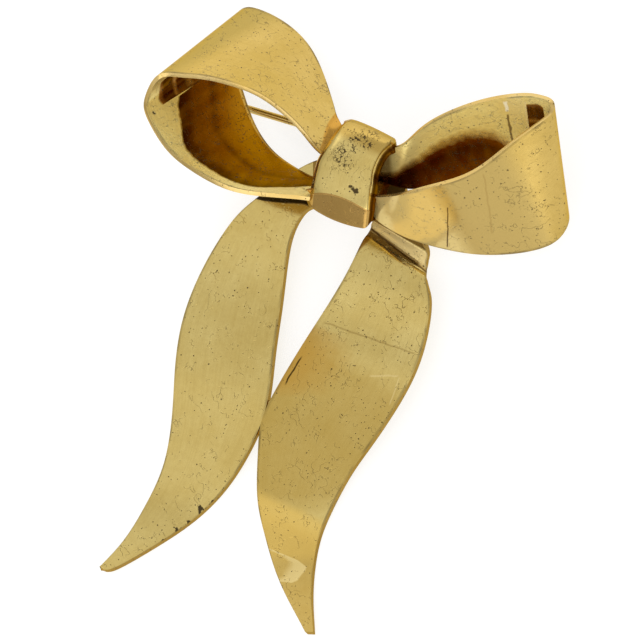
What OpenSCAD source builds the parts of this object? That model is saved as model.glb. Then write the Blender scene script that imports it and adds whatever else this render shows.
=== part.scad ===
// Bow brooch of bent gold-plated sheet: two open loops, a wrapped knot and two
// curved tails. It lies on its back, on its pin fittings and the tails' lower parts.
// +X is towards the right loop, +Y towards the tops of the loops, +Z is the front.
// The origin is on the surface it lies on, under the middle of its outline.

/* [Loops] */
// Reach of the left loop from the side of the knot to its bend
left_reach = 26.3; // [24:0.1:29]
// Reach of the right loop from the side of the knot to its bend
right_reach = 24.9; // [22:0.1:28]
// Height of the loops' highest edge above the middle of the knot
loop_rise = 19.4; // [17.5:0.1:21.5]
// Depth of the loops from their front edges to their back edges
loop_depth = 15; // [13.5:0.1:16.5]
// Thickness of the loops' sheet
loop_sheet = 0.6; // [0.5:0.05:0.8]

/* [Tails] */
// Drop of the tails' tips below the middle of the knot
tail_drop = 62; // [56:0.5:68]
// Reach of the left tail's outer edge from the middle of the knot
left_spread = 21.5; // [19.5:0.1:23.5]
// Reach of the right tail's outer edge from the middle of the knot
right_spread = 16.5; // [15:0.1:18]
// Distance of the soldered seam between the tails from the middle of the knot
seam_reach = 4.6; // [4:0.1:5.2]
// Thickness of the tails' sheet
tail_sheet = 0.9; // [0.7:0.05:1.1]

/* [Knot] */
// Width of the knot's band along X
knot_w = 9.1; // [8.2:0.1:10]
// Height of the knot along Y
knot_h = 14.2; // [13.2:0.1:15.4]
// Depth of the knot from its back to the middle of its front
knot_d = 8; // [7.4:0.1:8.8]
// Thickness of the knot's band
knot_sheet = 0.9; // [0.7:0.05:1.1]
// Height of the knot's back above the loops' back edges
knot_lift = 3.5; // [3.2:0.1:4.2]

/* [Pin] */
// Diameter of the pin stem
stem_d = 1; // [0.8:0.05:1.2]
// Length of the stem past the catch
stem_past = 2; // [1:0.1:3]
// Diameter of the hinge's rivet
rivet_d = 0.8; // [0.6:0.05:0.9]
// Radius of the hinge's ears, which rest on the surface
ear_r = 1.6; // [1.5:0.05:1.8]
// Thickness of each ear of the hinge
ear_t = 0.6; // [0.5:0.05:0.8]
// Thickness of the stem's flat eye between the ears
eye_t = 1; // [0.8:0.05:1.2]
// Width of the catch along the stem
catch_w = 2.4; // [2:0.1:3]
// Thickness of the catch's walls
catch_t = 0.6; // [0.5:0.05:0.8]

/* [Fits] */
// Clearance between pieces that are seated on each other
seat_gap = 0.3; // [0.2:0.05:0.35]
// Running clearance round the rivet and beside the stem's eye
run_gap = 0.05; // [0.03:0.01:0.08]
// Clearance round the stem in its catch and under the loops
stem_gap = 0.3; // [0.2:0.05:0.4]

/* [Hidden] */
GOLD = "#D9B65A";

// How far the middle of the knot's band stands out, as a share of its sheet
KNOT_CROWN = 0.3;

// Heights above the surface that the brooch lies on
stem_z = ear_r;
back_z = stem_z + stem_d / 2 + stem_gap + loop_sheet;
knot_back_z = back_z + knot_lift;
tail_top_z = knot_back_z - KNOT_CROWN * knot_sheet - seat_gap - tail_sheet / 2;
leg_front_z = knot_back_z + knot_d * 0.65;
leg_back_z = knot_back_z + knot_sheet + seat_gap + loop_sheet;

// Sections that smooth the curve from each row of a table to the next
STEPS = 4;

// Left loop, from the knot round the bend to the knot. A row is a section of the ribbon:
// [front edge out, up and forward, back edge out, up and forward], in shares of the
// loop's reach, rise and depth
LEFT_LOOP = [
    [0.06, 0.092, 0.63, 0.075, 0.358, 0.34],
    [0.17, 0.198, 0.77, 0.18, 0.462, 0.20],
    [0.36, 0.303, 0.90, 0.345, 0.677, 0.07],
    [0.53, 0.33, 0.97, 0.51, 0.855, 0.00],
    [0.72, 0.318, 1.00, 0.69, 0.96, 0.00],
    [0.88, 0.275, 1.00, 0.86, 0.992, 0.00],
    [0.985, 0.222, 1.00, 0.945, 0.953, 0.00],
    [1.005, 0.05, 1.00, 0.97, 0.80, 0.00],
    [0.96, -0.07, 1.00, 0.91, 0.615, 0.00],
    [0.80, -0.24, 1.00, 0.79, 0.413, 0.00],
    [0.62, -0.335, 0.98, 0.645, 0.19, 0.00],
    [0.39, -0.388, 0.92, 0.465, 0.03, 0.03],
    [0.20, -0.343, 0.80, 0.28, -0.042, 0.10],
    [0.06, -0.28, 0.64, 0.12, -0.08, 0.24]
];

// Right loop, with the same columns
RIGHT_LOOP = [
    [0.08, 0.312, 0.66, 0.10, 0.03, 0.30],
    [0.19, 0.452, 0.77, 0.21, 0.16, 0.16],
    [0.35, 0.597, 0.885, 0.36, 0.30, 0.06],
    [0.56, 0.75, 0.965, 0.54, 0.385, 0.00],
    [0.77, 0.858, 1.00, 0.74, 0.39, 0.00],
    [0.88, 0.882, 1.00, 0.87, 0.35, 0.00],
    [0.952, 0.876, 1.00, 0.953, 0.285, 0.00],
    [0.98, 0.815, 1.00, 1.00, 0.19, 0.00],
    [0.94, 0.715, 1.00, 0.998, 0.085, 0.00],
    [0.82, 0.52, 1.00, 0.945, -0.02, 0.00],
    [0.70, 0.305, 0.99, 0.80, -0.126, 0.00],
    [0.575, 0.16, 0.97, 0.60, -0.212, 0.00],
    [0.43, 0.06, 0.93, 0.42, -0.256, 0.04],
    [0.25, -0.04, 0.83, 0.24, -0.278, 0.14],
    [0.10, -0.085, 0.68, 0.11, -0.275, 0.29],
    [0.014, -0.10, 0.61, 0.016, -0.243, 0.39]
];

// Tails, from the knot to the tip. A row is a section of the blade:
// [outer edge out from the seam, outer edge down, inner edge out, inner edge down, lift],
// in shares of the tail's spread, the tails' drop and their height behind the knot
LEFT_TAIL = [
    [0.27, -0.02, 0.12, 0.082, 0.86],
    [0.48, 0.03, 0.20, 0.09, 0.70],
    [0.69, 0.10, 0.25, 0.112, 0.70],
    [0.828, 0.155, 0.265, 0.16, 0.74],
    [0.93, 0.23, 0.23, 0.23, 0.78],
    [0.99, 0.32, 0.153, 0.32, 0.78],
    [0.988, 0.42, 0.077, 0.42, 0.71],
    [0.911, 0.52, 0.00, 0.52, 0.53],
    [0.82, 0.61, 0.015, 0.61, 0.32],
    [0.76, 0.725, 0.132, 0.725, 0.095],
    [0.803, 0.83, 0.343, 0.83, 0.00],
    [0.87, 0.92, 0.615, 0.92, 0.045],
    [0.963, 0.985, 0.835, 0.985, 0.14],
    [0.98, 0.998, 0.93, 1.00, 0.17]
];
RIGHT_TAIL = [
    [0.713, 0.095, 0.287, 0.095, 0.66],
    [0.76, 0.125, 0.284, 0.125, 0.585],
    [0.825, 0.16, 0.268, 0.16, 0.565],
    [0.905, 0.215, 0.243, 0.215, 0.63],
    [0.967, 0.295, 0.205, 0.295, 0.76],
    [0.974, 0.385, 0.138, 0.385, 0.77],
    [0.898, 0.485, 0.053, 0.485, 0.61],
    [0.80, 0.57, 0.00, 0.57, 0.41],
    [0.72, 0.64, 0.035, 0.64, 0.255],
    [0.657, 0.735, 0.118, 0.735, 0.075],
    [0.653, 0.81, 0.252, 0.81, 0.00],
    [0.724, 0.90, 0.466, 0.90, 0.03],
    [0.825, 0.97, 0.703, 0.97, 0.13],
    [0.865, 0.995, 0.81, 1.00, 0.18]
];

// Knot's outline seen from its side, once round: [up, forward], in shares of half its
// height and of its depth. The flat below the front is its slanted foot.
KNOT = [
    [0.15, 1.00], [0.55, 0.975], [0.83, 0.89], [0.97, 0.74], [1.00, 0.57], [0.96, 0.38],
    [0.86, 0.17], [0.68, 0.03], [0.30, 0.00], [-0.25, 0.00], [-0.58, 0.03], [-0.73, 0.14],
    [-0.81, 0.33], [-0.87, 0.52], [-0.96, 0.62], [-0.97, 0.69], [-0.92, 0.76],
    [-0.79, 0.83], [-0.66, 0.885], [-0.58, 0.93], [-0.27, 0.985]
];

// Smooth curve through four values, from b to c as t goes from 0 to 1
function blend(a, b, c, d, t) =
    (2 * b + (c - a) * t + (2 * a - 5 * b + 4 * c - d) * t * t
        + (3 * b - a - 3 * c + d) * t * t * t) / 2;

// Row of an open table at place u, counted in rows
function along(table, u) =
    let (
        last = len(table) - 1,
        i = min(floor(u), last - 1),
        before = i == 0 ? 2 * table[0] - table[1] : table[i - 1],
        after = i + 2 > last ? 2 * table[last] - table[last - 1] : table[i + 2]
    )
    blend(before, table[i], table[i + 1], after, u - i);

// Row of a closed table at place u, counted in rows
function around(table, u) =
    let (n = len(table), i = floor(u))
    blend(table[(i - 1 + n) % n], table[i % n], table[(i + 1) % n], table[(i + 2) % n], u - i);

function unit(v) = v / norm(v);

// The two edges of a ribbon's row, [x, y, z] of the first and of the second
function first(row) = [row[0], row[1], row[2]];
function second(row) = [row[3], row[4], row[5]];

// Point of a ribbon at row u and share s across it, and the outward normal there
function on_ribbon(rows, u, s) =
    let (row = along(rows, u))
    first(row) * (1 - s) + second(row) * s;
function ribbon_normal(rows, u, s) =
    let (last = len(rows) - 1, h = 0.05)
    unit(cross(
        on_ribbon(rows, min(u + h, last), s) - on_ribbon(rows, max(u - h, 0), s),
        second(along(rows, u)) - first(along(rows, u))
    ));

// Places across a ribbon where its faces have points, as shares from the first edge
ACROSS = [0, 0.33, 0.67, 1];
// Rounded edges of a ribbon: how far they stand out and how far its faces stop short,
// as shares of its sheet
EDGE = 0.08;
SHORT = 0.32;

// Section of a ribbon at row u: two faces and two rounded edges, as a ring of points
function ribbon_section(rows, u, t) =
    let (
        wide = norm(on_ribbon(rows, u, 1) - on_ribbon(rows, u, 0)),
        tip = EDGE * t / wide,
        side = [for (a = ACROSS) a + (0.5 - a) * 2 * SHORT * t / wide]
    )
    concat(
        [on_ribbon(rows, u, -tip)],
        [for (s = side) on_ribbon(rows, u, s) + ribbon_normal(rows, u, s) * t / 2],
        [on_ribbon(rows, u, 1 + tip)],
        [for (j = [len(side) - 1 : -1 : 0])
            on_ribbon(rows, u, side[j]) - ribbon_normal(rows, u, side[j]) * t / 2]
    );

// Solid through a list of sections, each a ring of the same number of points
module loft(sections, closed = false) {
    n = len(sections[0]);
    m = len(sections);
    sides = [
        for (k = [0 : closed ? m - 1 : m - 2], j = [0 : n - 1])
            let (
                a = k * n + j,
                b = k * n + (j + 1) % n,
                c = ((k + 1) % m) * n + (j + 1) % n,
                d = ((k + 1) % m) * n + j
            )
            each [[a, b, c], [a, c, d]]
    ];
    start = [for (j = [1 : n - 2]) [0, j + 1, j]];
    end = [for (j = [1 : n - 2]) [(m - 1) * n, (m - 1) * n + j, (m - 1) * n + j + 1]];
    polyhedron([for (s = sections) each s], closed ? sides : concat(start, sides, end));
}

module ribbon(rows, t) {
    last = (len(rows) - 1) * STEPS;
    loft([for (k = [0 : last]) ribbon_section(rows, k / STEPS, t)]);
}

// Where a loop's leg runs through the knot: [front edge up, back edge up] of half its height
LEFT_UPPER = [0.17, 0.66];
LEFT_LOWER = [-0.70, -0.17];
RIGHT_UPPER = [0.70, 0.10];
RIGHT_LOWER = [-0.22, -0.57];

function leg_row(side, x, leg) = [
    side * x, leg[0] * knot_h / 2, leg_front_z,
    side * x, leg[1] * knot_h / 2, leg_back_z
];

function loop_rows(side, reach, table, upper, lower) = concat(
    [for (x = [seat_gap, knot_w * 0.38]) leg_row(side, x, upper)],
    [for (r = table) [
        side * (knot_w / 2 + r[0] * reach), r[1] * loop_rise, back_z + r[2] * loop_depth,
        side * (knot_w / 2 + r[3] * reach), r[4] * loop_rise, back_z + r[5] * loop_depth
    ]],
    [for (x = [knot_w * 0.38, seat_gap]) leg_row(side, x, lower)]
);
left_rows = loop_rows(-1, left_reach, LEFT_LOOP, LEFT_UPPER, LEFT_LOWER);
right_rows = loop_rows(1, right_reach, RIGHT_LOOP, RIGHT_UPPER, RIGHT_LOWER);

function tail_rows(side, spread, table, top) = concat(
    top,
    [for (r = table) let (z = tail_sheet / 2 + r[4] * (tail_top_z - tail_sheet / 2)) [
        -seam_reach + side * r[0] * (spread + side * seam_reach), -r[1] * tail_drop, z,
        -seam_reach + side * r[2] * (spread + side * seam_reach), -r[3] * tail_drop, z
    ]]
);
left_tail_rows = tail_rows(-1, left_spread, LEFT_TAIL, [
    [-seat_gap, 0.24 * knot_h, tail_top_z, -seat_gap, -0.34 * knot_h, tail_top_z],
    [-knot_w / 2, 0.21 * knot_h, tail_top_z, -knot_w / 2, -0.35 * knot_h, tail_top_z]
]);
right_tail_rows = tail_rows(1, right_spread, RIGHT_TAIL, [
    [knot_w * 0.6, 0.10 * knot_h, tail_top_z, seat_gap, 0.10 * knot_h, tail_top_z],
    [knot_w * 0.85, -0.18 * knot_h, tail_top_z, knot_w * 0.09, -0.18 * knot_h, tail_top_z]
]);

// Middle of the whole outline, which the origin lies under
outline = [
    for (rows = [left_rows, right_rows, left_tail_rows, right_tail_rows])
        for (k = [0 : (len(rows) - 1) * STEPS], s = [0, 1]) on_ribbon(rows, k / STEPS, s)
];
middle_x = (max([for (p = outline) p[0]]) + min([for (p = outline) p[0]])) / 2;
middle_y = (max([for (p = outline) p[1]]) + min([for (p = outline) p[1]])) / 2;

module placed() {
    translate([-middle_x, -middle_y, 0]) children();
}

module left_loop() {
    color(GOLD) placed() ribbon(left_rows, loop_sheet);
}

module right_loop() {
    color(GOLD) placed() ribbon(right_rows, loop_sheet);
}

// Solder bead that joins the tails' inner edges: its points down and their lift
SEAM = [
    [0.526, 0.515], [0.536, 0.495], [0.546, 0.47], [0.556, 0.445], [0.566, 0.42],
    [0.576, 0.40], [0.586, 0.375], [0.596, 0.35], [0.606, 0.33]
];
module solder() {
    for (k = [0 : len(SEAM) - 2])
        hull() {
            for (p = [SEAM[k], SEAM[k + 1]])
                translate([-seam_reach, -p[0] * tail_drop,
                        tail_sheet / 2 + p[1] * (tail_top_z - tail_sheet / 2)])
                    sphere(d = tail_sheet * 0.8, $fn = 8);
        }
}

module tails() {
    color(GOLD)
    placed() {
        ribbon(left_tail_rows, tail_sheet);
        ribbon(right_tail_rows, tail_sheet);
        solder();
    }
}

function knot_point(u) =
    let (p = around(KNOT, u % len(KNOT)))
    [0, p[0] * knot_h / 2, knot_back_z + p[1] * knot_d];

// Section of the knot's band at place u: a crowned sheet with rounded edges, which
// narrows behind the loops
function knot_section(u) =
    let (
        n = len(KNOT),
        h = 0.05,
        out = unit(cross([1, 0, 0], knot_point(u + h) - knot_point(u - h + n))),
        half = knot_w / 2 * (0.8 + 0.2 * min(1, around(KNOT, u)[1] / 0.65)),
        soft = knot_sheet * 0.3
    )
    [for (q = [[-half, -0.55], [-half + soft, -0.12], [-half * 0.55, 0.18], [0, KNOT_CROWN],
            [half * 0.55, 0.18], [half - soft, -0.12], [half, -0.55],
            [half - soft, -1], [0, -1], [-half + soft, -1]])
        knot_point(u) + [q[0], 0, 0] + out * q[1] * knot_sheet];

module knot() {
    color(GOLD)
    placed()
    loft([for (k = [0 : len(KNOT) * STEPS - 1]) knot_section(k / STEPS)], closed = true);
}

// Rows of the loops that carry the catch and the hinge, on the backs of their legs
CATCH_ROW = 4;
HINGE_ROW = 10.6;
catch_leg = right_rows[CATCH_ROW];
hinge_leg = along(left_rows, HINGE_ROW);

// The stem runs along X, under the back edge of the leg that carries the catch
stem_y = catch_leg[4];
catch_x = catch_leg[3];
hinge_x = (hinge_leg[0] + hinge_leg[3]) / 2;
stem_len = catch_x + catch_w / 2 + stem_past - hinge_x;

// Hollow of the catch and the flat eye of the stem
hollow_r = stem_d / 2 + stem_gap;
eye_r = rivet_d / 2 + run_gap + 0.65;
slot_t = eye_t + 2 * run_gap;

// Pads that carry the hinge and the catch on the loops' legs
pad_w = 1.5 * ear_r;
pad_long = 0.9 * pad_w;
pad_t = 1.2 * loop_sheet;

// Children laid on the outer face of a loop's leg: their Z is outwards and their Y is
// towards the leg's back edge. Side is -1 on the left loop and 1 on the right loop.
module on_leg(rows, row, s, side) {
    n = side * ribbon_normal(rows, row, s);
    a = unit(on_ribbon(rows, row, 1) - on_ribbon(rows, row, 0));
    b = cross(a, n);
    o = on_ribbon(rows, row, s);
    multmatrix([
        [b[0], a[0], n[0], o[0]],
        [b[1], a[1], n[1], o[1]],
        [b[2], a[2], n[2], o[2]]
    ])
    translate([0, 0, loop_sheet / 2 + seat_gap])
    children();
}

module along_y(x, d, long) {
    translate([x, stem_y - long / 2, stem_z]) rotate([-90, 0, 0]) cylinder(d = d, h = long, $fn = 48);
}

hinge_w = slot_t + 2 * ear_t;
module pin_hinge() {
    color(GOLD)
    placed()
    difference() {
        union() {
            hull() {
                on_leg(left_rows, HINGE_ROW, 0.72, -1)
                    translate([-pad_w / 2, -pad_long / 2, 0]) cube([pad_w, pad_long, pad_t]);
                translate([hinge_x - pad_w / 2, stem_y - hinge_w / 2, stem_z + eye_r])
                    cube([pad_w, hinge_w, ear_t]);
            }
            along_y(hinge_x, 2 * ear_r, hinge_w);
            translate([hinge_x - pad_w / 2, stem_y - hinge_w / 2, stem_z])
                cube([pad_w, hinge_w, eye_r + ear_t / 2]);
        }
        along_y(hinge_x, rivet_d + 2 * run_gap, 3 * hinge_w);
        translate([hinge_x - ear_r - 1, stem_y - slot_t / 2, -1])
            cube([2 * ear_r + 2, slot_t, 1 + stem_z + eye_r + run_gap * 2]);
    }
}

module hinge_rivet() {
    head = rivet_d / 2;
    color(GOLD)
    placed() {
        along_y(hinge_x, rivet_d, hinge_w + 2 * run_gap + head);
        for (side = [-1, 1])
            translate([0, side * (hinge_w / 2 + run_gap + head / 2), 0])
                along_y(hinge_x, rivet_d * 1.7, head);
    }
}

module pin_stem() {
    point = 3 * stem_d;
    color(GOLD)
    placed()
    difference() {
        union() {
            along_y(hinge_x, 2 * eye_r, eye_t);
            translate([hinge_x, stem_y, stem_z]) rotate([0, 90, 0])
                rotate_extrude($fn = 48)
                    polygon([[0, eye_r * 0.7], [stem_d / 2, eye_r * 0.7],
                        [stem_d / 2, stem_len - point], [stem_d * 0.1, stem_len], [0, stem_len]]);
        }
        along_y(hinge_x, rivet_d + 2 * run_gap, 3 * eye_t);
    }
}

module pin_catch() {
    out = hollow_r + catch_t;
    color(GOLD)
    placed()
    difference() {
        union() {
            hull() {
                on_leg(right_rows, CATCH_ROW, 0.86, 1)
                    translate([-catch_w / 2, -pad_long / 2, seat_gap])
                        cube([catch_w, pad_long, pad_t]);
                translate([catch_x - catch_w / 2, stem_y + hollow_r, stem_z])
                    cube([catch_w, catch_t, hollow_r + catch_t]);
            }
            translate([catch_x - catch_w / 2, stem_y - out, 0])
                cube([catch_w, 2 * out, stem_z + out]);
        }
        translate([catch_x - catch_w, stem_y, stem_z]) rotate([0, 90, 0])
            cylinder(r = hollow_r, h = 2 * catch_w, $fn = 48);
        translate([catch_x - catch_w, stem_y - hollow_r, -1])
            cube([2 * catch_w, 2 * hollow_r, 1 + stem_z]);
    }
}

left_loop();
right_loop();
tails();
knot();
pin_hinge();
hinge_rivet();
pin_stem();
pin_catch();
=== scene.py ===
from collections import namedtuple
from functools import partial
from math import atan2, radians

import bpy
from mathutils import Matrix, Vector


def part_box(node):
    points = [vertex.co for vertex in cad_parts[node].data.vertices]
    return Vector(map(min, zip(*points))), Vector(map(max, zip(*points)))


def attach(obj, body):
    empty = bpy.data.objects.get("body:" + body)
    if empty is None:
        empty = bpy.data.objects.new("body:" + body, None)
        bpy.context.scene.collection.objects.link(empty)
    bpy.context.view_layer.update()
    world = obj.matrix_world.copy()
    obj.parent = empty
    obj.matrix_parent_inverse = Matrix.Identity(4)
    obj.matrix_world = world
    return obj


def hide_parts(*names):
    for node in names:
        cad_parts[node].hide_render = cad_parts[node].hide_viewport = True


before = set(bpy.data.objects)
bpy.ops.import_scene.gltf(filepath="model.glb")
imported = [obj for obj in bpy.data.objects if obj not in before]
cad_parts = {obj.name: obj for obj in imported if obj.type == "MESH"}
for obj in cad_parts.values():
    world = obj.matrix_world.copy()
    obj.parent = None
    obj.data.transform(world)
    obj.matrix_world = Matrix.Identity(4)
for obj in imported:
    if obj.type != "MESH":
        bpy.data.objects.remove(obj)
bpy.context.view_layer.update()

bl_info = {
    "name": "Bow Brooch",
    "version": (1, 0, 0),
    "blender": (4, 5, 0),
    "location": "3D View > Sidebar > Bow Brooch",
    "description": "Dresses a bow brooch of bent gold-plated sheet round its packed frame",
    "category": "Add Mesh",
}

MM = 0.001

# Middle of the knot, which the shares of the tables count from, on the frame's floor
KNOT_LOW, KNOT_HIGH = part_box("knot")
MIDDLE_Y = 21.378 * MM
MIDDLE = Vector(((KNOT_LOW[0] + KNOT_HIGH[0]) / 2, MIDDLE_Y, 0))

# Heights of the loops' back edges, of the knot's back and of the tails' tops, as in the frame
BACK_Z = 3.0 * MM
KNOT_BACK_Z = 6.5 * MM
TAIL_TOP_Z = 5.48 * MM

# Loops, from the knot round the bend to the knot. A row is a section of the ribbon:
# [front edge out, up and forward, back edge out, up and forward], in shares of the
# loop's reach, rise and depth
LEFT_LOOP = [
    [0.06, 0.092, 0.63, 0.075, 0.358, 0.34],
    [0.17, 0.198, 0.77, 0.18, 0.462, 0.2],
    [0.36, 0.303, 0.9, 0.345, 0.677, 0.07],
    [0.53, 0.33, 0.97, 0.51, 0.855, 0],
    [0.72, 0.318, 1, 0.69, 0.96, 0],
    [0.88, 0.275, 1, 0.86, 0.992, 0],
    [0.985, 0.222, 1, 0.945, 0.953, 0],
    [1.005, 0.05, 1, 0.97, 0.8, 0],
    [0.96, -0.07, 1, 0.91, 0.615, 0],
    [0.8, -0.24, 1, 0.79, 0.413, 0],
    [0.62, -0.335, 0.98, 0.645, 0.19, 0],
    [0.39, -0.388, 0.92, 0.465, 0.03, 0.03],
    [0.2, -0.343, 0.8, 0.28, -0.042, 0.1],
    [0.06, -0.28, 0.64, 0.12, -0.08, 0.24],
]
RIGHT_LOOP = [
    [0.08, 0.312, 0.66, 0.1, 0.05, 0.3],
    [0.19, 0.452, 0.77, 0.21, 0.158, 0.16],
    [0.35, 0.597, 0.885, 0.36, 0.293, 0.06],
    [0.56, 0.75, 0.965, 0.54, 0.385, 0],
    [0.77, 0.858, 1, 0.74, 0.39, 0],
    [0.88, 0.882, 1, 0.87, 0.35, 0],
    [0.952, 0.876, 1, 0.953, 0.285, 0],
    [0.98, 0.815, 1, 1, 0.19, 0],
    [0.94, 0.715, 1, 0.998, 0.085, 0],
    [0.82, 0.52, 1, 0.945, -0.02, 0],
    [0.7, 0.305, 0.99, 0.8, -0.126, 0],
    [0.575, 0.16, 0.97, 0.6, -0.212, 0],
    [0.43, 0.06, 0.93, 0.42, -0.256, 0.04],
    [0.25, -0.04, 0.83, 0.24, -0.278, 0.14],
    [0.1, -0.085, 0.68, 0.11, -0.275, 0.29],
    [0.014, -0.1, 0.61, 0.016, -0.243, 0.39],
]

# Legs of the loops inside the knot: [front edge up, back edge up] of half its height,
# how far forward their front edges lie of its depth, and their gap to its back
LEFT_UPPER, LEFT_LOWER = [0.17, 0.66], [-0.7, -0.17]
RIGHT_UPPER, RIGHT_LOWER = [0.7, 0.1], [-0.22, -0.57]
LEG_FORWARD, LEG_GAP = 0.65, 0.9 * MM

# Distance from the knot's middle at which a sheet ends, and where a leg is still straight,
# as a share of the knot's width
SHEET_END, LEG_STRAIGHT = 0.3 * MM, 0.38

# Tails, from the knot to the tip. A row is a section of the blade:
# [outer edge out from the seam, outer edge down, inner edge out, inner edge down, lift],
# in shares of the tail's spread, the tails' drop and their height behind the knot
LEFT_TAIL = [
    [0.27, -0.02, 0.12, 0.082, 0.86],
    [0.48, 0.03, 0.2, 0.09, 0.8],
    [0.69, 0.1, 0.25, 0.112, 0.77],
    [0.828, 0.155, 0.283, 0.16, 0.69],
    [0.93, 0.23, 0.253, 0.23, 0.575],
    [0.99, 0.32, 0.178, 0.32, 0.51],
    [0.988, 0.42, 0.097, 0.42, 0.49],
    [0.911, 0.52, 0.01, 0.52, 0.44],
    [0.82, 0.61, 0.015, 0.61, 0.32],
    [0.76, 0.725, 0.132, 0.725, 0.095],
    [0.803, 0.83, 0.343, 0.83, 0],
    [0.87, 0.92, 0.615, 0.92, 0.045],
    [0.963, 0.985, 0.835, 0.985, 0.14],
    [0.98, 0.998, 0.93, 1, 0.17],
]
RIGHT_TAIL = [
    [0.7, 0.09, 0.256, 0.06, 0.42],
    [0.735, 0.118, 0.262, 0.076, 0.38],
    [0.752, 0.137, 0.268, 0.088, 0.4],
    [0.79, 0.155, 0.28, 0.108, 0.565],
    [0.812, 0.168, 0.272, 0.122, 0.6],
    [0.86, 0.19, 0.26, 0.16, 0.61],
    [0.91, 0.225, 0.24, 0.215, 0.63],
    [0.967, 0.295, 0.205, 0.295, 0.76],
    [0.974, 0.385, 0.138, 0.385, 0.77],
    [0.898, 0.485, 0.053, 0.485, 0.61],
    [0.8, 0.57, 0, 0.57, 0.41],
    [0.72, 0.64, 0.035, 0.64, 0.255],
    [0.657, 0.735, 0.118, 0.735, 0.075],
    [0.653, 0.81, 0.252, 0.81, 0],
    [0.724, 0.9, 0.466, 0.9, 0.03],
    [0.825, 0.97, 0.703, 0.97, 0.13],
    [0.865, 0.995, 0.81, 1, 0.18],
]

# Knot's outline seen from its side, once round from the middle of its face over its top:
# [up, forward], in shares of half its height and of its depth
KNOT = [
    [0.15, 1], [0.52, 0.985], [0.78, 0.95], [0.92, 0.885], [0.99, 0.77], [1, 0.6],
    [0.96, 0.38], [0.86, 0.17], [0.68, 0.03], [0.3, 0], [-0.25, 0], [-0.58, 0.03],
    [-0.73, 0.14], [-0.81, 0.33], [-0.88, 0.52], [-0.95, 0.62],
]
# Its face's edges: [up, left edge out, right edge out], in shares of half its height and
# width. Below the face is a slanted foot, whose upper edge is an arch: [out, up].
FACE = [[1, -0.6, 1.08], [0.8, -0.66, 1.12], [0.48, -0.78, 0.94], [0.17, -0.9, 0.9],
        [-0.09, -0.93, 0.98], [-0.37, -0.9, 1.05], [-0.62, -0.86, 1.12], [-1, -0.84, 1.1]]
ARCH = [[-1, -0.72], [-0.85, -0.64], [-0.6, -0.53], [-0.3, -0.49], [0, -0.49], [0.3, -0.52],
        [0.86, -0.6], [1.1, -0.64]]
FOOT = [[-1, -0.88], [-0.6, -0.935], [-0.15, -0.975], [0.2, -0.99], [0.57, -1.01], [0.86, -1.01],
        [1.1, -0.96]]
# Heights of the foot's lower edge at its middle, of the rows that follow that edge, and of
# the place where the foot's lines leave the face's edges
FOOT_MIDDLE, FOOT_FROM, FOOT_LEAVES = -0.975, -0.7, -0.75
# The arch's height and how far forward it lies, how steeply the foot slants back from it,
# how much the face leans with it, how fast the face rises from it, and its lip
ARCH_UP, ARCH_FORWARD, FOOT_SLANT, FACE_LEAN, FACE_RISE, LIP = -0.54, 0.935, 0.58, 0.22, 0.6, 0.004
# Rows of vertices on the foot, as shares of the way from its edge to the arch, and on the
# face, as shares of the way from the arch to the face's middle
FOOT_ROWS, FACE_ROWS = [0, 0.08, 0.5, 0.93, 1], [0.3, 0.72]
# Lines of vertices round the band: [share across it, mm beyond the face's edge, mm raised],
# where None is the line along the face's middle and less than 0 is inside or sunk
KNOT_LINES = [(0, 1, -1.6), (0.03, 0.75, -1.1), (0.07, 0.12, -0.42), (0.14, -0.55, -0.02),
              (0.5, None, 0.2), (0.86, -0.5, 0.0), (0.93, -0.06, -0.06), (0.95, 0.12, -0.45),
              (1, 0.3, -2.1)]
# Shares of the depth between which the band takes on its face's edges, its width at the
# back and how far forward it is full, the slant of its top and from which height
FACE_FROM, FACE_TO = 0.45, 0.80
BACK_WIDTH, FULL_WIDTH_FROM = 0.8, 0.65
TOP_SLANT, SLANT_FROM = 0.085, 0.3
# Heights between which the core that relief is measured from follows the outline, and the
# least of the relief that is left at the back
CORE_LOW, CORE_HIGH, LEAST_RELIEF = -0.45, 0.5, 0.2
# How much less the foot's lines are raised or sunk than the face's
FOOT_RELIEF = 0.8

# Ends of the solder bead along the tails' seam: [down, lift] in the tails' shares. Then
# its half width, its half thickness and how lumpy it is
SEAM_TOP, SEAM_FOOT = [0.524, 0.515], [0.608, 0.33]
BEAD_HALF_WIDTH, BEAD_HALF_THICKNESS, BEAD_LUMPS = 0.9 * MM, 0.4 * MM, 0.12 * MM

# Rounds that bring a cage's smooth surface to its points, and its levels of subdivision
ROUNDS, LEVELS = 3, 3

# Widths of the rounded edges of the sheet, the knot and the pin's fittings, and the angle
# from which an edge is rounded
SHEET_BEVEL, KNOT_BEVEL = 0.14 * MM, 0.25 * MM
FITTING_BEVELS = {"pin_hinge": 0.12 * MM, "hinge_rivet": 0.1 * MM, "pin_catch": 0.12 * MM}
SHARP, FITTING_SHARP = radians(50), radians(35)

# Distances within which a closed cage's ends and a CAD mesh's loose triangles are merged
CLOSED, LOOSE = 0.001 * MM, 0.002 * MM

# Places of a strip's lines of vertices across it, close together at its edges
ACROSS = [0, 0.03, 0.5, 0.97, 1]

# Rows that the UV maps count with, and the size in mm of a strip and of one of its rows
MOST_ROWS, SHEET_WIDTH, ROW_LENGTH = 25, 15, 3.2

# Sizes of the patterns in the plate: clouds and mottle of its tones, ragged edges of films,
# marks and dents, patches of dirt along an edge, waves and orange peel of the polish
CLOUD, MOTTLE = 8 * MM, 0.7 * MM
RAGGED_FILM, RAGGED_MARK, RAGGED_DENT = 1.2 * MM, 1.5 * MM, 0.4 * MM
EDGE_PATCH, WAVE, PEEL = 4 * MM, 3 * MM, 0.5 * MM
# Heights of the waves and the orange peel, and how deep the marks are
WAVE_HEIGHT, PEEL_HEIGHT, MARK_DEPTH = 0.016 * MM, 0.004 * MM, 0.03 * MM
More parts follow.
